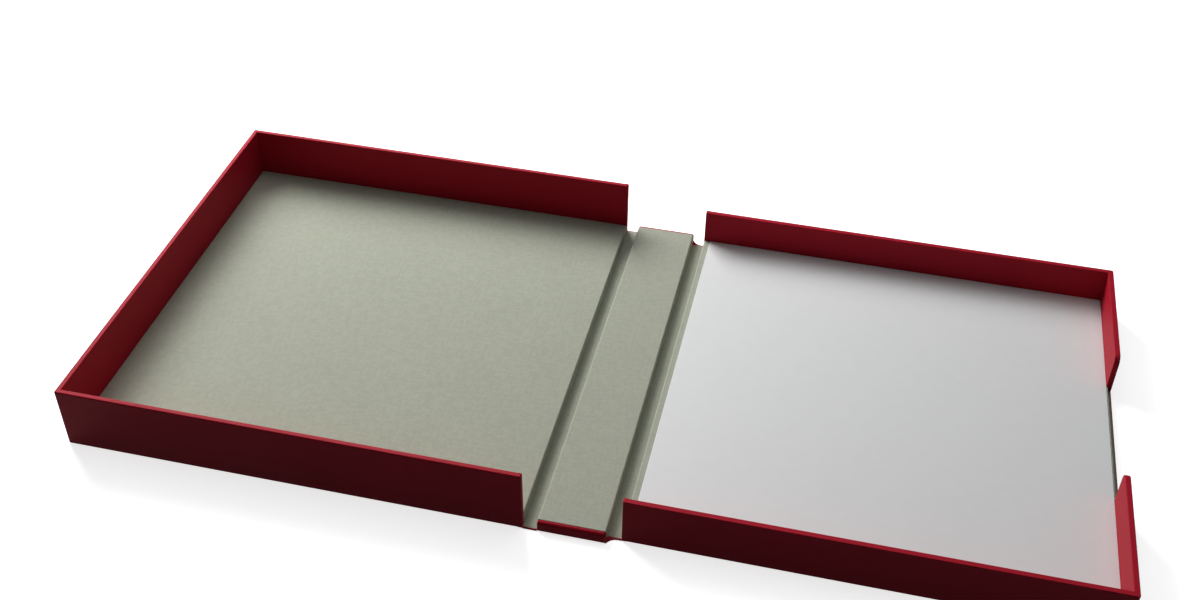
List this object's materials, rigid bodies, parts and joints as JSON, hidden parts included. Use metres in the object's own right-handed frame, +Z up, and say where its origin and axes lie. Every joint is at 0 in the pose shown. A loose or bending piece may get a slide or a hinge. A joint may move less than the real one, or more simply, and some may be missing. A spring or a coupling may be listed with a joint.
{
  "type": "rigid book box",
  "caption": "Clamshell book box lying open: a larger outer tray, a raised spine and a smaller inner tray with a finger notch, hinged by cloth joints.",
  "frame": {"origin": "on the table, under the middle of the open box's bounding box", "axes": "+X from the outer tray's fore-edge to the inner tray's fore-edge, +Y from tail to head, +Z up out of the trays"},
  "size_m": [0.4972, 0.23, 0.0342],
  "materials": {
    "covering": "satin",
    "lining": "matte",
    "white_paper": "satin",
    "board": "matte"
  },
  "bodies": {
    "inner_tray": {"inner_board_cover": "covering", "inner_case_board": "board", "inner_case_lining": "lining", "inner_tray_base": "board", "inner_tail_wall": "board", "inner_head_wall": "board", "inner_fore_edge_wall_tail": "board", "inner_fore_edge_wall_head": "board", "inner_wall_wrap": "covering", "inner_edge_lining": "lining", "inner_floor_lining": "white_paper"},
    "spine": {"spine_cover": "covering", "spine_board": "board", "spine_lining": "lining", "inner_joint_cloth": "covering", "inner_joint_lining": "lining", "outer_joint_cloth": "covering", "outer_joint_lining": "lining"},
    "outer_tray": {"outer_board_cover": "covering", "outer_case_board": "board", "outer_tray_base": "board", "outer_tail_wall": "board", "outer_head_wall": "board", "outer_fore_edge_wall": "board", "outer_wall_wrap": "covering", "outer_floor_lining": "lining"}
  },
  "joints": [
    {"name": "inner_joint", "type": "hinge", "parent": "inner_tray", "child": "spine", "pos_m": [0.01969, 0, 0.00038], "axis": [0, 1, 0], "range_deg": [0, 90], "deforming": ["inner_joint_cloth", "inner_joint_lining"]},
    {"name": "outer_joint", "type": "hinge", "parent": "spine", "child": "outer_tray", "pos_m": [-0.01419, 0, 0.00038], "axis": [0, 1, 0], "range_deg": [0, 90], "deforming": ["outer_joint_cloth", "outer_joint_lining"]}
  ]
}
